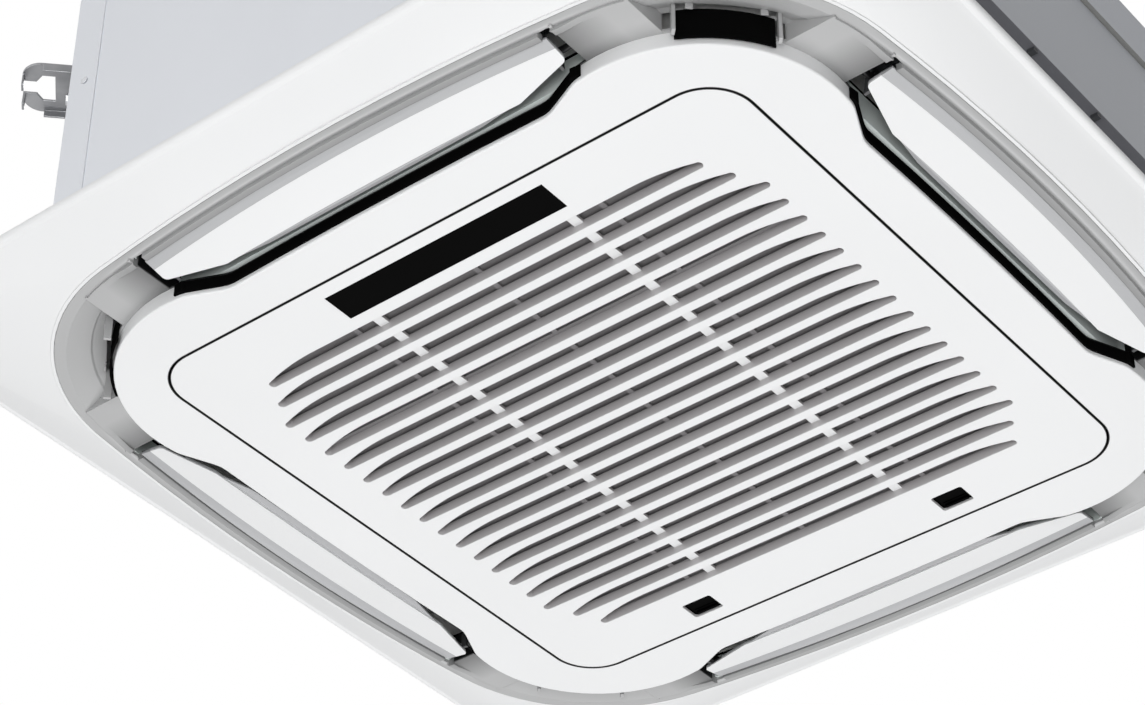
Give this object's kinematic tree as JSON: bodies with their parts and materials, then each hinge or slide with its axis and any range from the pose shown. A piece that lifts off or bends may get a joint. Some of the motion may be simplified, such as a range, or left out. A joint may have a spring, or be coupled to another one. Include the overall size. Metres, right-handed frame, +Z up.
{
  "type": "ceiling cassette air conditioner",
  "caption": "Four-way ceiling cassette air conditioner: square panel with a slotted intake grille, swinging air louvers, filter, fan, coil and a steel body with hanger brackets.",
  "frame": {"origin": "centre of the unit on the plane where the panel frame's rim seats on the ceiling", "axes": "+X along the intake slots towards the wiring cover, +Y towards the two latches, +Z up into the ceiling void"},
  "size_m": [0.95, 0.95, 0.365],
  "materials": {
    "white_plastic": "satin",
    "grey_plastic": "satin",
    "louver_grey": "satin",
    "black_plastic": "gloss",
    "black_foam": "matt",
    "duct_foam": "matt",
    "white_foam": "matt",
    "filter_mesh": "matt",
    "case_steel": "satin",
    "zinc_steel": "satin",
    "aluminium_fins": "satin",
    "copper": "satin",
    "brass": "satin",
    "circuit_green": "satin",
    "spring_steel": "satin",
    "fan_plastic": "satin"
  },
  "bodies": {
    "unit": {"air_ducts": "duct_foam", "bell_mouth": "fan_plastic", "bracket_bolts": "zinc_steel", "cable_gland": "black_foam", "casing_screws": "zinc_steel", "circuit_board": "circuit_green", "coil_tubes": "copper", "control_box": "zinc_steel", "control_box_cover": "zinc_steel", "corner_posts": "case_steel", "drain_hose": "black_foam", "drain_outlet": "white_plastic", "drain_pan": "white_foam", "drain_pump": "white_plastic", "duct_gaskets": "black_foam", "fan_motor": "zinc_steel", "flare_nuts": "brass", "float_switch": "white_plastic", "hanger_brackets": "zinc_steel", "heat_exchanger": "aluminium_fins", "inner_panel": "white_plastic", "liner": "white_foam", "louver_bushes": "white_plastic", "louver_motors": "zinc_steel", "louver_seal": "black_foam", "motor_mounts": "black_foam", "outer_frame": "white_plastic", "outlet_ring": "grey_plastic", "panel_screws": "zinc_steel", "pipe_plate": "zinc_steel", "refrigerant_pipes": "copper", "side_plates": "case_steel", "terminal_block": "white_plastic", "top_plate": "case_steel", "wire_clips": "black_plastic", "wiring_cover": "case_steel", "wiring_hood": "case_steel"},
    "grille_door": {"grille": "white_plastic", "grille_hinge_pins": "zinc_steel", "display_lens": "black_plastic", "display_board": "circuit_green", "latch_spring_left": "spring_steel", "latch_spring_right": "spring_steel"},
    "filter": {"filter_frame": "louver_grey", "filter_mesh": "filter_mesh"},
    "latch_left": {"latch_left": "black_plastic"},
    "latch_right": {"latch_right": "black_plastic"},
    "fan": {"turbo_fan": "fan_plastic", "fan_nut": "brass", "fan_shaft": "spring_steel"},
    "pump_rotor": {"pump_impeller": "fan_plastic"},
    "float": {"float_ring": "white_foam"},
    "louver_wiring": {"louver_face_wiring": "white_plastic", "louver_carrier_wiring": "louver_grey"},
    "louver_latch": {"louver_face_latch": "white_plastic", "louver_carrier_latch": "louver_grey"},
    "louver_piping": {"louver_face_piping": "white_plastic", "louver_carrier_piping": "louver_grey"},
    "louver_display": {"louver_face_display": "white_plastic", "louver_carrier_display": "louver_grey"}
  },
  "joints": [
    {"name": "grille_hinge", "type": "hinge", "parent": "unit", "child": "grille_door", "pos_m": [0, -0.271, -0.0408], "axis": [-1, 0, 0], "range_deg": [0, 70]},
    {"name": "filter_lift", "type": "slide", "parent": "grille_door", "child": "filter", "axis": [0, 0, 1], "range_m": [0, 0.02]},
    {"name": "latch_slide_left", "type": "slide", "parent": "grille_door", "child": "latch_left", "axis": [0, -1, 0], "range_m": [0, 0.007], "stiffness_N_per_m": 250, "springref_m": -0.008, "deforming": ["latch_spring_left"]},
    {"name": "latch_slide_right", "type": "slide", "parent": "grille_door", "child": "latch_right", "axis": [0, -1, 0], "range_m": [0, 0.007], "stiffness_N_per_m": 250, "springref_m": -0.008, "deforming": ["latch_spring_right"]},
    {"name": "louver_wiring_swing", "type": "hinge", "parent": "unit", "child": "louver_wiring", "pos_m": [0.376, 0, -0.0205], "axis": [0, 1, 0], "range_deg": [0, 60]},
    {"name": "louver_latch_swing", "type": "hinge", "parent": "unit", "child": "louver_latch", "pos_m": [0, 0.376, -0.0205], "axis": [-1, 0, 0], "range_deg": [0, 60]},
    {"name": "louver_piping_swing", "type": "hinge", "parent": "unit", "child": "louver_piping", "pos_m": [-0.376, 0, -0.0205], "axis": [0, -1, 0], "range_deg": [0, 60]},
    {"name": "louver_display_swing", "type": "hinge", "parent": "unit", "child": "louver_display", "pos_m": [0, -0.376, -0.0205], "axis": [1, 0, 0], "range_deg": [0, 60]},
    {"name": "fan_spin", "type": "hinge", "parent": "unit", "child": "fan", "pos_m": [0, 0, 0.18], "axis": [0, 0, 1], "continuous": true},
    {"name": "pump_spin", "type": "hinge", "parent": "unit", "child": "pump_rotor", "pos_m": [-0.298, 0.298, 0.03], "axis": [0, 0, 1], "continuous": true},
    {"name": "float_rise", "type": "slide", "parent": "unit", "child": "float", "axis": [0, 0, 1], "range_m": [0, 0.011]}
  ]
}
